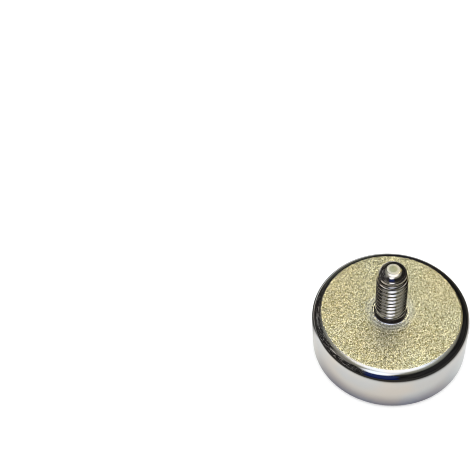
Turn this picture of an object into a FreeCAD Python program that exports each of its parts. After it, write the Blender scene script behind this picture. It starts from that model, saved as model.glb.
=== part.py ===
import FreeCAD, Part
import math
import os

# Pot magnet with a threaded stud. Millimetres, +Z up along the stud.
# The origin is the centre of the magnetic face, so the rim of the cup and the
# face of the magnet lie in the plane z = 0 and the stud points up.

# Cup
pot_diameter = 20.0
pot_height = 7.0
pot_wall = 1.4
pot_floor = 2.4
pot_top_radius = 1.4
pot_foot_radius = 0.45
pot_inner_foot_radius = 0.2
pot_inner_corner_radius = 0.5
lip_height = 0.1
lip_land = 0.03

# Magnet disc and the resin between it and the cup
resin_width = 1.1
resin_setback = 0.4
magnet_edge_radius = 0.35

# Stud
head_diameter = 7.0
head_thickness = 1.0
head_edge_chamfer = 0.15
head_clearance = 0.1
shank_diameter = 4.25
flare_height = 0.75
stud_length = 8.6
tip_taper_length = 1.4
tip_round_radius = 1.0
tip_flat_diameter = 1.4

# Thread, metric coarse: 60 degree flanks, and crest, root and depth as shares of the pitch
thread_diameter = 3.9
thread_pitch = 0.7
flank_half_angle = math.radians(30)
crest_flat = thread_pitch / 8
root_radius = 0.1443 * thread_pitch
thread_depth = 0.6134 * thread_pitch
runout_turns = 0.5
runout_points = 12
groove_start_angle = 26
crest_sectors = 12
groove_overshoot = 0.05

# Places worked out from the sizes above
pot_radius = pot_diameter / 2
cup_radius = pot_radius - pot_wall
cup_depth = pot_height - pot_floor
magnet_radius = cup_radius - resin_width
head_radius = head_diameter / 2
shank_radius = shank_diameter / 2
thread_radius = thread_diameter / 2
root_circle_radius = thread_radius - thread_depth
tip_flat_radius = tip_flat_diameter / 2
head_top = cup_depth + head_thickness
flare_foot = pot_height + lip_height
thread_start = flare_foot + flare_height
stud_top = pot_height + stud_length
round_foot = stud_top - tip_round_radius
taper_foot = round_foot - tip_taper_length
groove_foot = thread_start + thread_pitch / 2

axis_base = FreeCAD.Vector(0, 0, 0)
axis_up = FreeCAD.Vector(0, 0, 1)
full_turn = 2 * math.pi
same_point = 1e-6


def point(radius, height):
    # A point of a half section, drawn in the plane y = 0.
    return FreeCAD.Vector(radius, 0, height)


def around(radius, turn, height):
    # A point at an angle round the stud's axis, in radians.
    return FreeCAD.Vector(radius * math.cos(turn), radius * math.sin(turn), height)


def line(start, end):
    return Part.LineSegment(start, end).toShape()


def arc(centre_radius, centre_height, radius, start_angle, end_angle):
    # Round stretch of a half section, from its centre and its end angles in degrees.
    ends = []
    for angle in (start_angle, (start_angle + end_angle) / 2, end_angle):
        turn = math.radians(angle)
        ends.append(point(centre_radius + radius * math.cos(turn), centre_height + radius * math.sin(turn)))
    return Part.Arc(*ends).toShape()


def join(pieces):
    # Closed half section: straight lines fill the steps between the given edges.
    edges = []
    for index, piece in enumerate(pieces):
        previous_end = pieces[index - 1].lastVertex(True).Point
        piece_start = piece.firstVertex(True).Point
        if previous_end.distanceToPoint(piece_start) > same_point:
            edges.append(line(previous_end, piece_start))
        edges.append(piece)
    return Part.Wire(edges)


def turned(pieces):
    # Solid of revolution about the stud's axis.
    return Part.Face(join(pieces)).revolve(axis_base, axis_up, 360)


def cylinder(radius, low, high):
    return Part.makeCylinder(radius, high - low, point(0, low), axis_up)


def cup_section():
    # Outside of the cup, its rim, its hollow and the hole for the stud.
    counterbore_radius = head_radius + head_clearance
    lip_foot = shank_radius + lip_land + lip_height
    return [
        arc(pot_radius - pot_foot_radius, pot_foot_radius, pot_foot_radius, -90, 0),
        arc(pot_radius - pot_top_radius, pot_height - pot_top_radius, pot_top_radius, 0, 90),
        arc(lip_foot, pot_height + lip_height, lip_height, -90, -180),
        line(point(shank_radius, pot_height + lip_height), point(shank_radius, head_top)),
        line(point(counterbore_radius, head_top), point(counterbore_radius, cup_depth)),
        arc(cup_radius - pot_inner_corner_radius, cup_depth - pot_inner_corner_radius,
            pot_inner_corner_radius, 90, 0),
        arc(cup_radius + pot_inner_foot_radius, pot_inner_foot_radius, pot_inner_foot_radius, 180, 270),
    ]


def make_magnet():
    disc = cylinder(magnet_radius, 0, cup_depth)
    rims = [edge for edge in disc.Edges if isinstance(edge.Curve, Part.Circle)]
    return disc.makeFillet(magnet_edge_radius, rims)


def make_resin_ring():
    # What the magnet leaves of the cup's hollow, above the resin's own surface.
    corner = pot_inner_corner_radius
    hollow = turned([
        line(point(0, resin_setback), point(cup_radius, resin_setback)),
        arc(cup_radius - corner, cup_depth - corner, corner, 0, 90),
        line(point(magnet_radius, cup_depth), point(0, cup_depth)),
    ])
    return hollow.cut(cylinder(magnet_radius, 0, cup_depth))


def flare():
    # From the shank the blank narrows in a hollow curve that runs straight into the thread.
    bend = point(thread_radius, (flare_foot + thread_start) / 2)
    curve = Part.BezierCurve()
    curve.setPoles([point(shank_radius, flare_foot), bend, point(thread_radius, thread_start)])
    return curve.toShape()


def stud_blank():
    # The stud before its thread: turned foot, a plain barrel in sectors, rounded tip.
    foot = turned([
        line(point(0, cup_depth), point(head_radius - head_edge_chamfer, cup_depth)),
        line(point(head_radius, cup_depth + head_edge_chamfer), point(head_radius, head_top)),
        line(point(shank_radius, head_top), point(shank_radius, flare_foot)),
        flare(),
        line(point(thread_radius, thread_start), point(0, thread_start)),
    ])
    tip = turned([
        line(point(0, taper_foot), point(thread_radius, taper_foot)),
        arc(tip_flat_radius, round_foot, tip_round_radius, 0, 90),
        line(point(tip_flat_radius, stud_top), point(0, stud_top)),
    ])
    return foot.fuse([thread_barrel(), tip])


def thread_barrel():
    # The barrel's round is drawn as equal arcs, so that its crests are short faces.
    step = full_turn / crest_sectors
    arcs = []
    for sector in range(crest_sectors):
        ends = [around(thread_radius, (sector + share) * step, thread_start) for share in (0, 0.5, 1)]
        arcs.append(Part.Arc(*ends).toShape())
    return Part.Face(Part.Wire(arcs)).extrude(axis_up * (taper_foot - thread_start))


def groove_section():
    # One thread groove about z = 0: 60 degree flanks, a rounded root, open past the crest.
    half_mouth = (thread_pitch - crest_flat) / 2 + groove_overshoot * math.tan(flank_half_angle)
    mouth_radius = thread_radius + groove_overshoot
    flank_turn = math.degrees(flank_half_angle)
    root = arc(root_circle_radius + root_radius, 0, root_radius, 270 - flank_turn, 90 + flank_turn)
    mouth = line(point(mouth_radius, half_mouth), point(mouth_radius, -half_mouth))
    return join([root, mouth])


def sweep_groove(path):
    # Side faces that the groove's section leaves as it goes round the stud.
    sweep = Part.BRepOffsetAPI.MakePipeShell(Part.Wire(path))
    sweep.setBiNormalMode(axis_up)
    sweep.add(groove_section(), False, False)
    sweep.build()
    return sweep.shape(), Part.Face(sweep.lastShape())


def runout_path():
    # From full depth the groove goes on down its helix and smoothly out of the blank.
    def on_path(share):
        turn = -full_turn * runout_turns * share
        radius = thread_radius + (thread_depth + groove_overshoot) * share ** 2
        return around(radius, turn, -thread_pitch * runout_turns * share)

    points = [on_path(step / runout_points) for step in range(runout_points + 1)]
    start_tangent = FreeCAD.Vector(0, -thread_radius, -thread_pitch / full_turn)
    curve = Part.BSplineCurve()
    curve.interpolate(Points=points, InitialTangent=start_tangent, FinalTangent=points[-1] - points[-2])
    return curve.toShape()


def thread_groove():
    # One turn is swept and its copies are sewn end to end, with the run-out below them.
    turns = math.ceil((stud_top - groove_foot) / thread_pitch)
    one_turn, top_cap = sweep_groove(Part.makeHelix(thread_pitch, thread_pitch, thread_radius))
    runout, foot_cap = sweep_groove(runout_path())
    faces = runout.Faces + [foot_cap, top_cap.translated(axis_up * thread_pitch * (turns - 1))]
    for turn in range(turns):
        faces += [face.translated(axis_up * thread_pitch * turn) for face in one_turn.Faces]
    shell = Part.Shell(faces)
    shell.sewShape()
    groove = Part.Solid(shell)
    groove.rotate(axis_base, axis_up, groove_start_angle)
    groove.translate(axis_up * groove_foot)
    return groove


def main():
    os.makedirs("parts", exist_ok=True)
    pieces = {
        "pot": turned(cup_section()),
        "stud": stud_blank().cut(thread_groove()),
        "magnet": make_magnet(),
        "resin_ring": make_resin_ring(),
    }
    for name, shape in pieces.items():
        shape.exportStep(os.path.join("parts", name + ".step"))
        print(name, "solids", len(shape.Solids), "faces", len(shape.Faces), "valid", shape.isValid(),
              "volume", round(shape.Volume, 2))


main()
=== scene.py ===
import math

import bpy
import numpy as np
from mathutils import Matrix, Vector


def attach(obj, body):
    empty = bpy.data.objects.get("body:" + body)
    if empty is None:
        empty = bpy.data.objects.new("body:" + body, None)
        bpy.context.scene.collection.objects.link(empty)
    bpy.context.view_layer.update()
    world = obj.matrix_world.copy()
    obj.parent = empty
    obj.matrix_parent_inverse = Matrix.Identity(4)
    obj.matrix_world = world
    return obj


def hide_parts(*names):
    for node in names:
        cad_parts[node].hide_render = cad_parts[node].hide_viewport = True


# Looks of a nickel plated pot magnet with a threaded stud.
# Sizes in the dictionaries are millimetres unless a note says otherwise.
mm = 0.001
samePlace = 1e-5
weldDigits = 5  # decimals of a millimetre to which two points count as one
white = (1.0, 1.0, 1.0, 1.0)

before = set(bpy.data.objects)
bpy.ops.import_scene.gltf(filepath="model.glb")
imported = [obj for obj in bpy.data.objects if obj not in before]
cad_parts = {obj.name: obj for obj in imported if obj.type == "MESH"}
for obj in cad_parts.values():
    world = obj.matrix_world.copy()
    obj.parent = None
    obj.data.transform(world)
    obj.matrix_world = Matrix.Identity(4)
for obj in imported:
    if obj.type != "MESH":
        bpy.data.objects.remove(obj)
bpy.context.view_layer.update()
print("frame loaded:", ", ".join(sorted(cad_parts)))


# Small tools for the half sections

def arcPoints(centre, radius, startAngle, endAngle, steps):
    # Points of a round stretch, from its centre (radius, height) and its end angles in degrees
    points = []
    for step in range(steps + 1):
        turn = math.radians(startAngle + (endAngle - startAngle) * step / steps)
        points.append((centre[0] + radius * math.cos(turn), centre[1] + radius * math.sin(turn)))
    return points


def linePoints(start, end, steps):
    # Evenly spaced points of a straight stretch, both ends included
    shares = [step / steps for step in range(steps + 1)]
    return [(start[0] + (end[0] - start[0]) * s, start[1] + (end[1] - start[1]) * s) for s in shares]


def tidyProfile(points):
    # Drops points that repeat the one before them
    kept = []
    for point in points:
        if not kept or math.dist(point, kept[-1]) > samePlace:
            kept.append(point)
    if math.dist(kept[0], kept[-1]) < samePlace:
        kept.pop()
    return kept


def meshFromGrid(name, rows, closedProfile, closedTurn=True):
    # rows[i][j] is point j of the section at turn i, in millimetres; equal points are welded
    places, index = [], {}

    def vertex(point):
        key = tuple(round(value, weldDigits) for value in point)
        if key not in index:
            index[key] = len(places)
            places.append([value * mm for value in point])
        return index[key]

    numbers = [[vertex(point) for point in row] for row in rows]
    faces = []
    turns, along = len(numbers), len(numbers[0])
    for i in range(turns if closedTurn else turns - 1):
        here, there = numbers[i], numbers[(i + 1) % turns]
        for j in range(along if closedProfile else along - 1):
            k = (j + 1) % along
            face = []
            for corner in (here[j], there[j], there[k], here[k]):
                if corner not in face:
                    face.append(corner)
            if len(face) > 2:
                faces.append(face)
    mesh = bpy.data.meshes.new(name)
    mesh.from_pydata(places, [], faces)
    mesh.validate()
    mesh.update()
    piece = bpy.data.objects.new(name, mesh)
    bpy.context.scene.collection.objects.link(piece)
    return piece


def turnProfile(name, profile, steps, closedProfile=True, lift=None):
    # Turns a half section about the stud's axis; lift(radius, turn, height) may move a point up
    rows = []
    for step in range(steps):
        turn = 2 * math.pi * step / steps
        c, s = math.cos(turn), math.sin(turn)
        row = []
        for radius, height in profile:
            up = lift(radius, turn, height) if lift else 0.0
            row.append((radius * c, radius * s, height + up))
        rows.append(row)
    return meshFromGrid(name, rows, closedProfile)


def finishPiece(piece, material, node, sharpAngle=38):
    # Smooth shading up to a sharp angle in degrees, its material, and its place in the frame
    piece.data.shade_smooth()
    piece.data.set_sharp_from_angle(angle=math.radians(sharpAngle))
    piece.data.materials.append(material)
    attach(piece, "root")
    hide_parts(node)
    print(piece.name, "faces", len(piece.data.polygons))


# Small tools for the node trees

def addNode(tree, kind, **settings):
    node = tree.nodes.new(kind)
    for key, value in settings.items():
        setattr(node, key, value)
    return node


def feed(tree, node, **sockets):
    # Sets a socket to a plain value, or links it when the value is another node's socket.
    # A key is the socket's own label, or "at" and its number where labels repeat.
    for key, value in sockets.items():
        socket = node.inputs[int(key[2:]) if key.startswith("at") else key.replace("_", " ")]
        if isinstance(value, bpy.types.NodeSocket):
            tree.links.new(value, socket)
        else:
            socket.default_value = value
    return node


def math2(tree, operation, a, b=0.0):
    node = addNode(tree, "ShaderNodeMath", operation=operation)
    return feed(tree, node, at0=a, at1=b).outputs[0]


def times(tree, a, b):
    return math2(tree, "MULTIPLY", a, b)


def distance2(tree, x, y):
    return math2(tree, "SQRT", math2(tree, "ADD", times(tree, x, x), times(tree, y, y)))


def mapRange(tree, value, low, high, toLow=0.0, toHigh=1.0, smooth=True):
    node = addNode(tree, "ShaderNodeMapRange", interpolation_type="SMOOTHSTEP" if smooth else "LINEAR")
    return feed(tree, node, at0=value, at1=low, at2=high, at3=toLow, at4=toHigh).outputs[0]


def mixColour(tree, factor, a, b, blend="MIX"):
    node = addNode(tree, "ShaderNodeMix", data_type="RGBA", blend_type=blend)
    feed(tree, node, at0=factor, at6=a, at7=b)
    return node.outputs[2]


def noiseValue(tree, place, scale, detail, rough=0.5):
    node = addNode(tree, "ShaderNodeTexNoise")
    feed(tree, node, Vector=place, Scale=scale, Detail=detail, Roughness=rough)
    return node.outputs["Fac"]


def noiseMask(tree, place, scale, detail, reach, to=(0.0, 1.0), rough=0.5):
    # Noise whose values between the ends of reach are spread out over to
    return mapRange(tree, noiseValue(tree, place, scale, detail, rough), *reach, *to)


def addBump(tree, height, distance, normal=None):
    node = addNode(tree, "ShaderNodeBump")
    feed(tree, node, Height=height, Distance=distance * mm, Strength=1.0)
    if normal is not None:
        feed(tree, node, Normal=normal)
    return node.outputs["Normal"]


def newGroup(name, inputs, outputs):
    # Shader node group; its sockets are given as label and kind
    tree = bpy.data.node_groups.new(name, "ShaderNodeTree")
    for way, sockets in (("INPUT", inputs), ("OUTPUT", outputs)):
        for label, kind in sockets.items():
            tree.interface.new_socket(label, in_out=way, socket_type="NodeSocket" + kind)
    return tree, tree.nodes.new("NodeGroupInput").outputs, tree.nodes.new("NodeGroupOutput")


def useGroup(tree, group, **sockets):
    node = addNode(tree, "ShaderNodeGroup", node_tree=group)
    return feed(tree, node, **sockets).outputs


# Camera at the photograph's own angle

camera = {
    "position": (-18.27, -62.96, 100.04),  # from the centre of the magnetic face
    "pitch": 49.61,  # degrees below the horizon
    "roll": -8.21,  # degrees
    "sensor": 36.0,
    "focalShare": 874 / 470,  # focal length in picture widths
    "clip": (5.0, 20000.0),
}


def makeCamera():
    pitch, roll = math.radians(camera["pitch"]), math.radians(camera["roll"])
    ahead = Vector((0, math.cos(pitch), -math.sin(pitch)))
    level = Vector((1, 0, 0))
    upright = level.cross(ahead)
    right = math.cos(roll) * level + math.sin(roll) * upright
    up = -math.sin(roll) * level + math.cos(roll) * upright
    data = bpy.data.cameras.new("photoCamera")
    data.sensor_width = camera["sensor"]
    data.lens = camera["sensor"] * camera["focalShare"]
    data.clip_start, data.clip_end = (end * mm for end in camera["clip"])
    eye = bpy.data.objects.new("photoCamera", data)
    turn = Matrix((right, up, -ahead)).transposed().to_4x4()
    eye.matrix_world = Matrix.Translation(Vector(camera["position"]) * mm) @ turn
    bpy.context.scene.collection.objects.link(eye)
    bpy.context.scene.camera = eye


makeCamera()
bpy.context.scene.view_settings.view_transform = "Standard"  # the pale floor stays pale
bpy.context.scene.cycles.filter_width = 1.0  # pixels, so that the blasted grain isn't blurred
print("camera set")


# Studio: soft lamps round a dim room, seen only in the plating, over a plain pale floor

studio = {
    "pale": white,  # what the camera sees past the floor
    "ambient": (1.7, 1.7, 1.7, 1.0),  # soft even light on everything that isn't metal
    # the room's two tones lie in soft patches
    "room": (0.027, 0.026, 0.026, 1.0),
    "roomShade": (0.009, 0.009, 0.010, 1.0),
    "patches": {"scale": 2.2, "detail": 1.0, "reach": (0.38, 0.62)},
    # small light things on one side of it
    "clutter": (0.80, 0.77, 0.74, 1.0),
    "clutterSide": {"aim": (175, 32), "reach": (15, 75)},
    "bits": {"scale": 17.0, "detail": 3.0, "reach": (0.57, 0.70)},
    # what lies under it, by the height of a direction
    "below": (0.62, 0.62, 0.62, 1.0),
    "horizon": (-0.05, -0.3),
    # aim: azimuth and elevation; reach: core and edge; all in degrees
    "lamps": {
        "backGlow": {"aim": (95, 6), "reach": (6, 22), "colour": (0.125, 0.125, 0.10)},
        "skyGlow": {"aim": (20, 87), "reach": (22, 50), "colour": (0.42, 0.42, 0.36)},
        "farPanel": {"aim": (68, 58), "reach": (6, 17), "colour": (3.15, 2.86, 1.76)},
        "yellowWall": {"aim": (38, 46), "reach": (4, 11), "colour": (0.36, 0.33, 0.18)},
        "leftShelf": {"aim": (-172, 48), "reach": (2, 14), "colour": (0.27, 0.26, 0.25)},
        "leftEdge": {"aim": (180, 33), "reach": (1.5, 6), "colour": (0.55, 0.53, 0.50)},
        "farEdge": {"aim": (140, 22), "reach": (2, 9), "colour": (0.20, 0.20, 0.20)},
        "navyFoot": {"aim": (-111, 6), "reach": (16, 23), "colour": (0.006, 0.012, 0.085)},
        "navyCard": {"aim": (-112, 29), "reach": (15, 22), "colour": (0.022, 0.036, 0.135)},
        "windowTop": {"aim": (-102, 64), "reach": (5, 14), "colour": (1.05, 1.12, 1.28)},
        "window": {"aim": (-119, 54), "reach": (6, 18), "colour": (1.55, 1.62, 1.80)},
        "overhead": {"aim": (20, 87), "reach": (11, 27), "colour": (1.50, 1.53, 1.60)},
    },
}

# The plating mirrors a floor of its own, painted for reflections only: painted shade close to the foot, a
# pale sheet in front, a painted dark stretch behind the cup, and the dim room painted past the sheet
floor = {
    "half": 1500.0,
    "drop": 0.02,  # how far it lies under the magnetic face
    "colour": (0.95, 0.95, 0.95),
    # painted shade that the plating mirrors: dark near the foot, lighter at the sides
    "footPaintedShade": (0.225, 0.235, 0.30),
    "footReach": (9.9, 11.8),
    "sidePaintedShade": (0.70, 0.71, 0.70),
    "sideReach": (-9.5, -2.5),
    "sideSlant": 0.35,
    "sheetTone": (0.665, 0.65, 0.63),
    # painted dark stretch behind the cup, seen only in reflections
    "farPaintedShade": (0.045, 0.045, 0.046),
    "farStart": (1.8, 5.4),
    "farEnd": (34.0, 20.0),
    # the dim room painted on the floor past the sheet, seen only in reflections
    "roomPaintedReflection": (0.024, 0.023, 0.021),
    "sheetEnd": (14.0, 31.0),
    "sheetCentre": -3.0,
    "stretchNear": 1.22,
    "stretchFar": 0.4,
}


def aimVector(azimuth, elevation):
    a, e = math.radians(azimuth), math.radians(elevation)
    return (math.cos(a) * math.cos(e), math.sin(a) * math.cos(e), math.sin(e))


def makeLampGroup():
    # One soft round lamp: a mask from the angle between a direction and the lamp's aim
    inputs = {"Direction": "Vector", "Aim": "Vector", "Core": "Float", "Edge": "Float"}
    tree, start, end = newGroup("softLamp", inputs, {"Mask": "Float"})
    dot = addNode(tree, "ShaderNodeVectorMath", operation="DOT_PRODUCT")
    feed(tree, dot, at0=start["Direction"], at1=start["Aim"])
    feed(tree, end, Mask=mapRange(tree, dot.outputs["Value"], start["Edge"], start["Core"]))
    return tree


def lampMask(tree, lampGroup, direction, lamp):
    core, edge = (math.cos(math.radians(angle)) for angle in lamp["reach"])
    aim = aimVector(*lamp["aim"])
    return useGroup(tree, lampGroup, Direction=direction, Aim=aim, Core=core, Edge=edge)["Mask"]


def makeWorld():
    world = bpy.data.worlds.new("softStudio")
    bpy.context.scene.world = world
    world.use_nodes = True
    world.cycles.sampling_method = "NONE"
    tree = world.node_tree
    tree.nodes.clear()
    lampGroup = makeLampGroup()
    direction = addNode(tree, "ShaderNodeTexCoord").outputs["Generated"]
    patches = noiseMask(tree, direction, **studio["patches"])
    mirrored = mixColour(tree, patches, studio["roomShade"], studio["room"])
    bits = noiseMask(tree, direction, **studio["bits"])
    busy = times(tree, bits, lampMask(tree, lampGroup, direction, studio["clutterSide"]))
    mirrored = mixColour(tree, busy, mirrored, studio["clutter"])
    for lamp in studio["lamps"].values():
        mask = lampMask(tree, lampGroup, direction, lamp)
        mirrored = mixColour(tree, mask, mirrored, (*lamp["colour"], 1.0))
    height = addNode(tree, "ShaderNodeSeparateXYZ")
    feed(tree, height, Vector=direction)
    under = mapRange(tree, height.outputs["Z"], *studio["horizon"])
    mirrored = mixColour(tree, under, mirrored, studio["below"])
    # Metal mirrors the room, everything else is lit evenly, and the camera sees plain white
    path = addNode(tree, "ShaderNodeLightPath").outputs
    light = mixColour(tree, path["Is Glossy Ray"], studio["ambient"], mirrored)
    seen = mixColour(tree, path["Is Camera Ray"], light, studio["pale"])
    background = addNode(tree, "ShaderNodeBackground")
    feed(tree, background, Color=seen)
    output = addNode(tree, "ShaderNodeOutputWorld")
    feed(tree, output, Surface=background.outputs[0])


def makeFloorMaterial():
    material = bpy.data.materials.new("paleFloor")
    material.use_nodes = True
    tree = material.node_tree
    shader = tree.nodes["Principled BSDF"]
    feed(tree, shader, Roughness=1.0, Specular_IOR_Level=0.0)

    def between(value, key):
        low, high = floor[key]
        return mapRange(tree, value, low * mm, high * mm)

    def tone(key):
        return (*floor[key], 1.0)

    place = addNode(tree, "ShaderNodeSeparateXYZ")
    feed(tree, place, Vector=addNode(tree, "ShaderNodeTexCoord").outputs["Object"])
    x, y = place.outputs["X"], place.outputs["Y"]
    radius = distance2(tree, x, y)
    slanted = math2(tree, "ADD", y, times(tree, x, floor["sideSlant"]))
    # Painted shade in the mirrored floor: dark at the foot, lighter at the sides, a dark stretch behind the
    # cup
    foot = mixColour(tree, between(slanted, "sideReach"), tone("footPaintedShade"), tone("sidePaintedShade"))
    sheet = mixColour(tree, between(radius, "footReach"), foot, tone("sheetTone"))
    far = times(tree, between(y, "farStart"), between(radius, "farEnd"))
    sheet = mixColour(tree, far, sheet, tone("farPaintedShade"))
    # The sheet's end is a circle about its own centre, longer in front and shorter behind
    shifted = math2(tree, "SUBTRACT", x, floor["sheetCentre"] * mm)
    front = times(tree, math2(tree, "MINIMUM", y, 0.0), floor["stretchNear"])
    behind = times(tree, math2(tree, "MAXIMUM", y, 0.0), floor["stretchFar"])
    reach = distance2(tree, shifted, math2(tree, "ADD", front, behind))
    # past the sheet's end the dim room is painted on as a painted reflection
    mirrored = mixColour(tree, between(reach, "sheetEnd"), sheet, tone("roomPaintedReflection"))
    path = addNode(tree, "ShaderNodeLightPath").outputs
    # reflections see the painted floor, the camera the plain pale one
    feed(tree, shader, Base_Color=mixColour(tree, path["Is Glossy Ray"], tone("colour"), mirrored))
    # Seen from underneath the floor is clear, so the magnetic face can be looked at
    clear = addNode(tree, "ShaderNodeBsdfTransparent")
    back = addNode(tree, "ShaderNodeNewGeometry").outputs["Backfacing"]
    passed = math2(tree, "GREATER_THAN", path["Transparent Depth"], 0.5)
    away = math2(tree, "MAXIMUM", back, passed)
    mix = addNode(tree, "ShaderNodeMixShader")
    feed(tree, mix, at0=away, at1=shader.outputs[0], at2=clear.outputs[0])
    feed(tree, tree.nodes["Material Output"], Surface=mix.outputs[0])
    return material


def makeFloor():
    half, drop = floor["half"] * mm, -floor["drop"] * mm
    corners = [(-half, -half, drop), (half, -half, drop), (half, half, drop), (-half, half, drop)]
    mesh = bpy.data.meshes.new("paleFloor")
    mesh.from_pydata(corners, [], [(0, 1, 2, 3)])
    ground = bpy.data.objects.new("paleFloor", mesh)
    bpy.context.scene.collection.objects.link(ground)
    mesh.materials.append(makeFloorMaterial())


makeWorld()
makeFloor()
print("studio set")


# Effects shared by the platings

tintNoise = {"detail": 2.0, "reach": (0.35, 0.65)}

marks = {
    # hairlines: where noise that is drawn out long passes its middle value, in three directions
    "hairlines": (
        {"angle": 0.4, "length": 9.0},
        {"angle": 1.9, "length": 12.0},
        {"angle": 2.7, "length": 7.0},
    ),
    "leanShare": 0.3,
    "lean": 0.2,
    "across": (0.12, 1.6),
    "middle": 0.5,
    "lineWidth": 0.012,  # in units of the noise
    "patches": {"scale": 0.55, "detail": 2.0, "reach": (0.5, 0.68)},
    # specks: the middles of cells
    "speckScale": 1.4,
    "speckReach": (0.055, 0.03),
}


def makeRoundPlace():
    # Distance from the stud's axis, height and the whole place, in millimetres
    outputs = {"Radius": "Float", "Height": "Float", "Place": "Vector"}
    tree, _, end = newGroup("roundPlace", {}, outputs)
    place = addNode(tree, "ShaderNodeVectorMath", operation="SCALE")
    feed(tree, place, Vector=addNode(tree, "ShaderNodeTexCoord").outputs["Object"], Scale=1 / mm)
    split = addNode(tree, "ShaderNodeSeparateXYZ")
    feed(tree, split, Vector=place.outputs[0])
    x, y, z = (split.outputs[axis] for axis in "XYZ")
    feed(tree, end, Radius=distance2(tree, x, y), Height=z, Place=place.outputs[0])
    return tree


def makePlatingTint():
    # Slow drift of the plating between a warm and a cool tone
    inputs = {"Place": "Vector", "Scale": "Float", "Warm": "Color", "Cool": "Color"}
    tree, start, end = newGroup("platingTint", inputs, {"Colour": "Color"})
    mask = noiseMask(tree, start["Place"], start["Scale"], **tintNoise)
    feed(tree, end, Colour=mixColour(tree, mask, start["Warm"], start["Cool"]))
    return tree


def makeBlastGrain():
    # Fine blasted grain: every cell has its own tilt and its own shade
    inputs = {"Place": "Vector", "Grain": "Float", "Tilt": "Float"}
    tree, start, end = newGroup("blastGrain", inputs, {"Normal": "Vector", "Shade": "Float"})
    cells = addNode(tree, "ShaderNodeTexVoronoi", feature="F1")
    scale = math2(tree, "DIVIDE", 1.0, start["Grain"])
    feed(tree, cells, Vector=start["Place"], Scale=scale, Randomness=1.0)
    lean = addNode(tree, "ShaderNodeVectorMath", operation="SUBTRACT")
    feed(tree, lean, at0=cells.outputs["Color"], at1=(0.5, 0.5, 0.5))
    strength = addNode(tree, "ShaderNodeCombineXYZ")
    double = times(tree, start["Tilt"], 2.0)
    feed(tree, strength, X=double, Y=double, Z=double)
    straight = addNode(tree, "ShaderNodeNewGeometry").outputs["Normal"]
    tilted = addNode(tree, "ShaderNodeVectorMath", operation="MULTIPLY_ADD")
    feed(tree, tilted, at0=lean.outputs[0], at1=strength.outputs[0], at2=straight)
    unit = addNode(tree, "ShaderNodeVectorMath", operation="NORMALIZE")
    feed(tree, unit, at0=tilted.outputs[0])
    split = addNode(tree, "ShaderNodeSeparateColor")
    feed(tree, split, Color=cells.outputs["Color"])
    feed(tree, end, Normal=unit.outputs[0], Shade=split.outputs["Blue"])
    return tree


def makeHandlingWear():
    # Hairline scratches as a height, and small specks as a mask
    tree, start, end = newGroup("handlingWear", {"Place": "Vector"}, {"Height": "Float", "Speck": "Float"})
    hairlines = None
    for hairline in marks["hairlines"]:
        angle = hairline["angle"]
        turned = addNode(tree, "ShaderNodeMapping", vector_type="TEXTURE")
        rotation = (marks["leanShare"] * angle, marks["lean"], angle)
        stretch = (hairline["length"], *marks["across"])
        feed(tree, turned, Vector=start["Place"], Rotation=rotation, Scale=stretch)
        lines = noiseValue(tree, turned.outputs[0], 1.0, 0.0)
        thin = math2(tree, "ABSOLUTE", math2(tree, "SUBTRACT", lines, marks["middle"]))
        line = mapRange(tree, thin, marks["lineWidth"], 0.0)
        hairlines = line if hairlines is None else math2(tree, "MAXIMUM", hairlines, line)
    scratch = times(tree, hairlines, noiseMask(tree, start["Place"], **marks["patches"]))
    spots = addNode(tree, "ShaderNodeTexVoronoi", feature="F1")
    feed(tree, spots, Vector=start["Place"], Scale=marks["speckScale"], Randomness=1.0)
    speck = mapRange(tree, spots.outputs["Distance"], *marks["speckReach"])
    feed(tree, end, Height=scratch, Speck=speck)
    return tree


roundPlace = makeRoundPlace()
platingTint = makePlatingTint()
blastGrain = makeBlastGrain()
handlingWear = makeHandlingWear()


def newPlating(name):
    # Metal material with the shared place and wear already in it
    material = bpy.data.materials.new(name)
    material.use_nodes = True
    tree = material.node_tree
    shader = tree.nodes["Principled BSDF"]
    shader.inputs["Metallic"].default_value = 1.0
    place = useGroup(tree, roundPlace)
    wear = useGroup(tree, handlingWear, Place=place["Place"])
    return material, tree, shader, place, wear


def addTint(tree, place, scale, warm, cool):
    return useGroup(tree, platingTint, Place=place, Scale=scale, Warm=warm, Cool=cool)["Colour"]


# Pot: turned cup with a blasted top, a polished round edge and a polished wall

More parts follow.
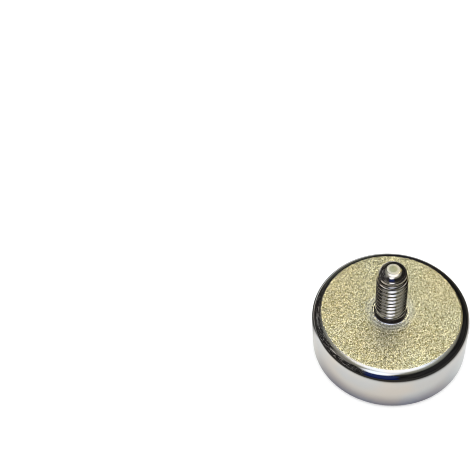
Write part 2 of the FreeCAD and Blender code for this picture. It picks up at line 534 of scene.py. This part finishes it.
pot = {
    "radius": 10.0,
    "height": 7.0,
    "topRadius": 1.4,
    "footRadius": 0.45,
    "cupRadius": 8.6,
    "cupDepth": 4.6,
    "innerFootRadius": 0.2,
    "innerCornerRadius": 0.5,
    "boreRadius": 2.125,
    "counterboreRadius": 3.6,
    "headTop": 5.6,
    "lipHeight": 0.1,
    "lipLand": 0.03,
    "turns": 480,
    "steps": {"foot": 8, "wall": 10, "edge": 24, "top": 54, "lip": 8, "bore": 2, "ceiling": 3,
              "corner": 6, "inside": 4, "innerFoot": 6, "rim": 3},
    # slow unevenness of the top, which stops short of the lip and of the round edge
    "reliefDepth": 0.0022,
    "reliefLengths": (0.24, 0.5),
    "reliefWaves": 70,
    "reliefInset": 0.4,
    "reliefFades": (0.5, 0.35),
    "seed": 7,
    # where the blasting lies: on the flat, between the lip and the edge, and faintly past the edge
    "flatRadius": (8.90, 8.72),
    "flatHeight": (6.94, 6.97),
    "blastRadius": (2.27, 2.36),
    "rimRadius": (9.2, 8.6),
    "rimHeight": (6.6, 6.9),
    "rimShare": 0.3,
    "grain": 0.094,
    "grainTilt": 0.27,
    "blast": 0.30,  # roughness
    "blastMetal": 0.84,
    "pitShade": (0.20, 0.185, 0.05, 1.0),
    "warm": (0.675, 0.635, 0.58, 1.0),
    "cool": (0.61, 0.63, 0.64, 1.0),
    "wallDrift": 0.16,
    "topWarm": (1.0, 0.93, 0.70, 1.0),
    "topCool": (0.96, 0.95, 0.78, 1.0),
    "topDrift": 0.11,
    # painted reflection of the stud: the top turns greyer towards the stud's foot
    "studReflectionPaintedTone": (0.66, 0.68, 0.66, 1.0),  # greyer where the foot meets the top
    "studReflectionRadius": (3.5, 2.5),
    "studReflectionShare": 0.55,
    "ringPitch": 0.42,  # faint turning rings round the foot of the stud
    "ringRadius": (5.0, 3.0),
    "ringDepth": 0.008,
    # painted highlight: a brighter, bluer tone on the lip round the stud's foot
    "lipPaintedHighlight": (0.86, 0.88, 0.94, 1.0),
    "lipRadius": (2.29, 2.25),
    "polish": 0.06,  # roughness
    "smear": {"scale": 0.8, "detail": 3.0, "reach": (0.3, 0.7), "to": (-0.02, 0.03)},
    "waves": (0.7, 1.0),  # scale and detail
    "waveDepth": 0.012,
    "scratchDepth": 0.0008,
}


def potProfile():
    r, h, t, f = pot["radius"], pot["height"], pot["topRadius"], pot["footRadius"]
    cup, depth = pot["cupRadius"], pot["cupDepth"]
    innerFoot, corner = pot["innerFootRadius"], pot["innerCornerRadius"]
    bore, lip, headTop = pot["boreRadius"], pot["lipHeight"], pot["headTop"]
    counterbore, steps = pot["counterboreRadius"], pot["steps"]
    lipFoot = bore + pot["lipLand"] + lip
    points = arcPoints((r - f, f), f, -90, 0, steps["foot"])
    points += linePoints((r, f), (r, h - t), steps["wall"])
    points += arcPoints((r - t, h - t), t, 0, 90, steps["edge"])
    points += linePoints((r - t, h), (lipFoot, h), steps["top"])
    points += arcPoints((lipFoot, h + lip), lip, -90, -180, steps["lip"])
    points += linePoints((bore, h + lip), (bore, headTop), steps["bore"])
    points += [(counterbore, headTop), (counterbore, depth)]
    points += linePoints((counterbore, depth), (cup - corner, depth), steps["ceiling"])
    points += arcPoints((cup - corner, depth - corner), corner, 90, 0, steps["corner"])
    points += linePoints((cup, depth - corner), (cup, innerFoot), steps["inside"])
    points += arcPoints((cup + innerFoot, innerFoot), innerFoot, 180, 270, steps["innerFoot"])
    points += linePoints((cup + innerFoot, 0), (r - f, 0), steps["rim"])
    return tidyProfile(points)


def makeTopRelief():
    # Slow unevenness of the blasted top, as a sum of fixed waves in all directions
    rng = np.random.default_rng(pot["seed"])
    lengths = rng.uniform(*pot["reliefLengths"], pot["reliefWaves"])
    ways = rng.uniform(0, 2 * math.pi, pot["reliefWaves"])
    starts = rng.uniform(0, 2 * math.pi, pot["reliefWaves"])
    alongX = 2 * math.pi * np.cos(ways) / lengths
    alongY = 2 * math.pi * np.sin(ways) / lengths
    inner, outer = pot["boreRadius"] + pot["reliefInset"], pot["radius"] - pot["topRadius"]
    innerFade, outerFade = pot["reliefFades"]

    def lift(radius, turn, height):
        if abs(height - pot["height"]) > samePlace or not inner < radius < outer:
            return 0.0
        x, y = radius * math.cos(turn), radius * math.sin(turn)
        fade = min(1.0, (radius - inner) / innerFade, (outer - radius) / outerFade)
        wave = float(np.cos(alongX * x + alongY * y + starts).sum()) / math.sqrt(pot["reliefWaves"] / 2)
        return pot["reliefDepth"] * fade * wave

    return lift


def makePotMaterial():
    material, tree, shader, place, wear = newPlating("nickelPot")
    radius, height, spot = place["Radius"], place["Height"], place["Place"]

    def inside(radiusKey, heightKey):
        return times(tree, mapRange(tree, radius, *pot[radiusKey]), mapRange(tree, height, *pot[heightKey]))

    # Where it is blasted, and the grain there
    flat, rim = inside("flatRadius", "flatHeight"), inside("rimRadius", "rimHeight")
    blasted = times(tree, flat, mapRange(tree, radius, *pot["blastRadius"]))
    grained = math2(tree, "MAXIMUM", blasted, times(tree, rim, pot["rimShare"]))
    tilt = times(tree, grained, pot["grainTilt"])
    grain = useGroup(tree, blastGrain, Place=spot, Grain=pot["grain"], Tilt=tilt)
    # Colour: the plating's own tint, darker pits, a painted reflection of the stud round its foot and a
    # painted highlight on the lip
    wall = addTint(tree, spot, pot["wallDrift"], pot["warm"], pot["cool"])
    top = addTint(tree, spot, pot["topDrift"], pot["topWarm"], pot["topCool"])
    pits = mixColour(tree, grain["Shade"], pot["pitShade"], white)
    top = mixColour(tree, 1.0, top, pits, "MULTIPLY")
    # painted reflection of the stud: greyer towards its foot
    paintedStudReflection = mapRange(tree, radius, *pot["studReflectionRadius"], 0.0, pot["studReflectionShare"])
    top = mixColour(tree, paintedStudReflection, top, pot["studReflectionPaintedTone"])
    colour = mixColour(tree, blasted, wall, top)
    # painted highlight on the lip
    colour = mixColour(tree, mapRange(tree, radius, *pot["lipRadius"]), colour, pot["lipPaintedHighlight"])
    # Roughness and shine
    polish = math2(tree, "ADD", noiseMask(tree, spot, **pot["smear"]), pot["polish"])
    rough = addNode(tree, "ShaderNodeMix", data_type="FLOAT")
    feed(tree, rough, at0=blasted, at2=polish, at3=pot["blast"])
    metal = mapRange(tree, blasted, 0.0, 1.0, 1.0, pot["blastMetal"], smooth=False)
    # Relief: turning rings near the stud, slow waves and scratches
    rings = math2(tree, "SINE", times(tree, radius, 2 * math.pi / pot["ringPitch"]))
    nearFoot = mapRange(tree, radius, *pot["ringRadius"], 0.0, pot["ringDepth"])
    ringed = addBump(tree, times(tree, rings, nearFoot), 1.0, grain["Normal"])
    wavy = addBump(tree, noiseValue(tree, spot, *pot["waves"]), pot["waveDepth"], ringed)
    normal = addBump(tree, wear["Height"], pot["scratchDepth"], wavy)
    feed(tree, shader, Base_Color=colour, Metallic=metal, Roughness=rough.outputs[0], Normal=normal)
    return material


potShell = turnProfile("potShell", potProfile(), pot["turns"], lift=makeTopRelief())
finishPiece(potShell, makePotMaterial(), "pot")


# Stud: turned head and shank, flared foot, rolled thread with a run-out, rounded tip

stud = {
    "headRadius": 3.5,
    "headChamfer": 0.15,
    "headFoot": 4.6,
    "headTop": 5.6,
    "shankRadius": 2.125,
    "flareFoot": 7.1,
    "threadStart": 7.85,
    "threadRadius": 1.95,
    "pitch": 0.7,
    "flankAngle": 30,  # degrees
    "rootCircle": 1.5206,
    "rootRound": 0.101,
    "grooveStart": 8.2,
    "startAngle": 26,  # degrees, where the groove reaches its full depth
    "runoutTurn": math.pi,
    "runoutDepth": 0.4794,
    "clear": 1.0,  # how far out the groove is put where there is none
    "taperFoot": 13.2,
    "roundFoot": 14.6,
    "roundRadius": 1.0,
    "tipFlatRadius": 0.7,
    "top": 15.6,
    "edgeBlend": 0.035,
    "sharpAngle": 50,  # degrees
    "turns": 192,
    "steps": {"headFace": 3, "headSide": 3, "headBack": 2, "shank": 8, "tipRound": 16, "tipFlat": 8},
    "sheetFoot": 7.2,  # the rows follow the thread between these two heights
    "sheetTop": 15.3,
    # distances of the rows from a groove's centre line, closer at the root and at the crest's edge
    "rows": [0.0, 0.033, 0.062, 0.0875, 0.13, 0.175, 0.22, 0.262, 0.290, 0.304, 0.318, 0.335],
    "warm": (0.70, 0.64, 0.56, 1.0),
    "cool": (0.66, 0.64, 0.61, 1.0),
    "drift": 0.5,
    # painted shade at the stud's foot and in the thread's roots
    "footPaintedShade": (0.11, 0.10, 0.115, 1.0),
    "footHeight": (7.85, 7.5),
    "rootPaintedShade": (0.17, 0.155, 0.14, 1.0),
    "rootHeight": (14.9, 14.4),
    "rootRadius": (1.80, 1.60),
    # painted shade on the tip's face, darker and bluer, and darker still at its centre, to tone down the
    # lamp it mirrors
    "tipFacePaintedShade": (0.33, 0.365, 0.50, 1.0),
    "tipHeight": (15.58, 15.595),
    "tipCentrePaintedShade": (0.64, 0.68, 0.55, 1.0),
    "tipRadius": (0.62, 0.38),
    "polish": 0.05,  # roughness
    "smear": {"scale": 3.0, "detail": 3.0, "reach": (0.3, 0.7), "to": (-0.02, 0.05)},
    "waves": (5.0, 1.0),  # scale and detail
    "waveDepth": 0.004,
    "ringTurn": 42.0,  # turning marks on the tip's face, in radians a millimetre
    "ringDepth": 0.0012,
    "scratchDepth": 0.0008,
}


def softMin(a, b, blend):
    # The lower of two values, rounded off where they meet
    h = min(1.0, max(0.0, 0.5 + 0.5 * (b - a) / blend))
    return b + (a - b) * h - blend * h * (1 - h)


def blankRadius(z):
    # The stud before its thread: flare, barrel, long lead-in taper and rounded end
    barrel = stud["threadRadius"]
    if z < stud["threadStart"]:
        left = (stud["threadStart"] - z) / (stud["threadStart"] - stud["flareFoot"])
        return barrel + (stud["shankRadius"] - barrel) * min(1.0, left) ** 2
    if z > stud["roundFoot"]:
        rise = min(1.0, (z - stud["roundFoot"]) / stud["roundRadius"])
        return stud["tipFlatRadius"] + stud["roundRadius"] * math.sqrt(1 - rise * rise)
    share = (z - stud["taperFoot"]) / (stud["roundFoot"] - stud["taperFoot"])
    taper = barrel + (stud["tipFlatRadius"] + stud["roundRadius"] - barrel) * share
    return softMin(barrel, taper, stud["edgeBlend"])


def grooveRadius(offset, alongTurn):
    # The groove at a distance from its centre line; alongTurn is the angle from its full depth.
    # The sine of the flank's angle is a half.
    x, flank = abs(offset), math.radians(stud["flankAngle"])
    centre = stud["rootCircle"] + stud["rootRound"]
    flankFoot = stud["rootRound"] * math.cos(flank)
    if x < flankFoot:
        radius = centre - math.sqrt(stud["rootRound"] ** 2 - x * x)
    else:
        radius = centre - stud["rootRound"] * 0.5 + (x - flankFoot) / math.tan(flank)
    if alongTurn < -stud["runoutTurn"]:
        return radius + stud["runoutDepth"] + stud["clear"]
    if alongTurn < 0:
        radius += stud["runoutDepth"] * (alongTurn / stud["runoutTurn"]) ** 2
    return radius


def headRow():
    headFoot, headTop, radius = stud["headFoot"], stud["headTop"], stud["headRadius"]
    chamfer, shank, steps = stud["headChamfer"], stud["shankRadius"], stud["steps"]
    row = linePoints((0.0, headFoot), (radius - chamfer, headFoot), steps["headFace"])
    row += linePoints((radius, headFoot + chamfer), (radius, headTop), steps["headSide"])
    row += linePoints((radius, headTop), (shank, headTop), steps["headBack"])[1:]
    row += linePoints((shank, headTop), (shank, stud["flareFoot"]), steps["shank"])[1:]
    return row


def tipRow():
    centre, steps = (stud["tipFlatRadius"], stud["roundFoot"]), stud["steps"]
    rise = stud["sheetTop"] - stud["roundFoot"]
    startAngle = math.degrees(math.asin(rise / stud["roundRadius"]))
    row = arcPoints(centre, stud["roundRadius"], startAngle, 90, steps["tipRound"])[1:]
    row += linePoints((stud["tipFlatRadius"], stud["top"]), (0.0, stud["top"]), steps["tipFlat"])[1:]
    return row


def studRows():
    # Per column: the head, then rows along the thread clipped level at both ends, then the tip
    offsets = [-x for x in reversed(stud["rows"][1:])] + stud["rows"]
    pitch, foot, top = stud["pitch"], stud["sheetFoot"], stud["sheetTop"]
    firstTurn = math.floor((foot - stud["grooveStart"]) / pitch) - 1
    lastTurn = math.ceil((top - stud["grooveStart"]) / pitch) + 1
    head, tip = headRow(), tipRow()
    rows = []
    for step in range(stud["turns"] + 1):
        turn = 2 * math.pi * step / stud["turns"]
        row = list(head)
        for k in range(firstTurn, lastTurn + 1):
            middle = stud["grooveStart"] + pitch * (turn / (2 * math.pi) + k)
            row += [(None, min(top, max(foot, middle + offset))) for offset in offsets]
        rows.append(row + tip)
    return rows


def studSurface(turn, z):
    # Radius of the finished stud: the blank, cut by the grooves on either side of this height
    share = turn / (2 * math.pi)
    nearest = round((z - stud["grooveStart"]) / stud["pitch"] - share)
    radius = blankRadius(z)
    for k in (nearest - 1, nearest, nearest + 1):
        offset = z - stud["grooveStart"] - stud["pitch"] * (share + k)
        radius = softMin(radius, grooveRadius(offset, 2 * math.pi * (share + k)), stud["edgeBlend"])
    return radius


def makeStudMaterial():
    material, tree, shader, place, wear = newPlating("nickelStud")
    radius, height, spot = place["Radius"], place["Height"], place["Place"]
    onFoot = mapRange(tree, height, *stud["footHeight"])
    threaded = mapRange(tree, height, *stud["rootHeight"])
    inThread = times(tree, threaded, mapRange(tree, radius, *stud["rootRadius"]))
    onTip = mapRange(tree, height, *stud["tipHeight"])
    centre = times(tree, mapRange(tree, radius, *stud["tipRadius"]), onTip)
    colour = addTint(tree, spot, stud["drift"], stud["warm"], stud["cool"])
    # Painted shade: darker at the foot and in the thread's roots, and on the tip's face against the lamp it
    # mirrors
    tones = ((onFoot, "footPaintedShade"), (inThread, "rootPaintedShade"), (onTip, "tipFacePaintedShade"), (centre, "tipCentrePaintedShade"))
    for mask, tone in tones:
        colour = mixColour(tree, mask, colour, mixColour(tree, 1.0, colour, stud[tone], "MULTIPLY"))
    rough = math2(tree, "ADD", noiseMask(tree, spot, **stud["smear"]), stud["polish"])
    rings = math2(tree, "SINE", times(tree, radius, stud["ringTurn"]))
    wavy = addBump(tree, noiseValue(tree, spot, *stud["waves"]), stud["waveDepth"])
    ringed = addBump(tree, times(tree, rings, onTip), stud["ringDepth"], wavy)
    normal = addBump(tree, wear["Height"], stud["scratchDepth"], ringed)
    feed(tree, shader, Base_Color=colour, Roughness=rough, Normal=normal)
    return material


def makeStud():
    # The last column lies on the first one, a pitch further up the rows, and is welded to it
    grid = []
    for step, row in enumerate(studRows()):
        turn = 2 * math.pi * step / stud["turns"]
        angle = turn + math.radians(stud["startAngle"])
        points = []
        for radius, z in row:
            radius = studSurface(turn, z) if radius is None else radius
            points.append((radius * math.cos(angle), radius * math.sin(angle), z))
        grid.append(points)
    return meshFromGrid("threadedStud", grid, closedProfile=False, closedTurn=False)


threadedStud = makeStud()
finishPiece(threadedStud, makeStudMaterial(), "stud", stud["sharpAngle"])


# Magnet disc: plated, with rounded edges and a satin face

magnet = {
    "radius": 7.5,
    "height": 4.6,
    "edgeRadius": 0.35,
    "turns": 256,
    "steps": {"face": 12, "faceEdge": 10, "side": 6, "backEdge": 6, "back": 6},
    "warm": (0.60, 0.565, 0.50, 1.0),
    "cool": (0.57, 0.56, 0.53, 1.0),
    "drift": 0.3,
    "speckTone": (0.16, 0.14, 0.12, 1.0),
    "cloud": {"scale": 1.3, "detail": 4.0, "rough": 0.65, "reach": (0.3, 0.7), "to": (0.17, 0.30)},
    "satin": (9.0, 2.0),  # scale and detail
    "satinDepth": 0.0025,
    "scratchDepth": 0.001,
}


def makeMagnetMaterial():
    material, tree, shader, place, wear = newPlating("nickelMagnet")
    spot = place["Place"]
    tint = addTint(tree, spot, magnet["drift"], magnet["warm"], magnet["cool"])
    speckled = mixColour(tree, wear["Speck"], tint, magnet["speckTone"])
    cloud = noiseMask(tree, spot, **magnet["cloud"])
    satin = addBump(tree, noiseValue(tree, spot, *magnet["satin"]), magnet["satinDepth"])
    normal = addBump(tree, wear["Height"], magnet["scratchDepth"], satin)
    feed(tree, shader, Base_Color=speckled, Roughness=cloud, Normal=normal)
    return material


def makeMagnet():
    r, h, e, steps = magnet["radius"], magnet["height"], magnet["edgeRadius"], magnet["steps"]
    points = linePoints((0.0, 0.0), (r - e, 0.0), steps["face"])
    points += arcPoints((r - e, e), e, -90, 0, steps["faceEdge"])
    points += linePoints((r, e), (r, h - e), steps["side"])
    points += arcPoints((r - e, h - e), e, 0, 90, steps["backEdge"])
    points += linePoints((r - e, h), (0.0, h), steps["back"])
    return turnProfile("magnetDisc", tidyProfile(points), magnet["turns"], closedProfile=False)


magnetDisc = makeMagnet()
finishPiece(magnetDisc, makeMagnetMaterial(), "magnet")


# Potting resin between the magnet and the cup, its face a shallow meniscus

resin = {
    "inner": 7.5,
    "outer": 8.6,
    "face": 0.4,
    "climb": 0.12,  # how far the face rises at both its edges
    "climbPower": 4,
    "top": 4.6,
    "cornerRadius": 0.5,
    "turns": 256,
    "steps": {"face": 12, "outside": 4, "corner": 6, "back": 2, "inside": 4},
    "dark": (0.011, 0.013, 0.018, 1.0),
    "light": (0.022, 0.026, 0.034, 1.0),
    "ior": 1.55,
    "cloud": {"scale": 0.9, "detail": 3.0, "reach": (0.3, 0.7)},
    "rough": {"scale": 2.2, "detail": 2.0, "reach": (0.3, 0.7), "to": (0.22, 0.42)},
    "waves": (1.6, 2.0),  # scale and detail
    "waveDepth": 0.03,
}


def makeResinMaterial():
    material = bpy.data.materials.new("darkResin")
    material.use_nodes = True
    tree = material.node_tree
    shader = tree.nodes["Principled BSDF"]
    shader.inputs["IOR"].default_value = resin["ior"]
    spot = useGroup(tree, roundPlace)["Place"]
    cloud = noiseMask(tree, spot, **resin["cloud"])
    colour = mixColour(tree, cloud, resin["dark"], resin["light"])
    rough = noiseMask(tree, spot, **resin["rough"])
    normal = addBump(tree, noiseValue(tree, spot, *resin["waves"]), resin["waveDepth"])
    feed(tree, shader, Base_Color=colour, Roughness=rough, Normal=normal)
    return material


def makeResin():
    inner, outer, face = resin["inner"], resin["outer"], resin["face"]
    corner, top, steps = resin["cornerRadius"], resin["top"], resin["steps"]
    points = []
    for step in range(steps["face"] + 1):
        share = step / steps["face"]
        rise = resin["climb"] * (2 * share - 1) ** resin["climbPower"]
        points.append((inner + (outer - inner) * share, face - rise))
    points += linePoints((outer, face), (outer, top - corner), steps["outside"])[1:]
    points += arcPoints((outer - corner, top - corner), corner, 0, 90, steps["corner"])
    points += linePoints((outer - corner, top), (inner, top), steps["back"])
    points += linePoints((inner, top), (inner, face), steps["inside"])[:-1]
    return turnProfile("pottingResin", tidyProfile(points), resin["turns"])


pottingResin = makeResin()
finishPiece(pottingResin, makeResinMaterial(), "resin_ring")
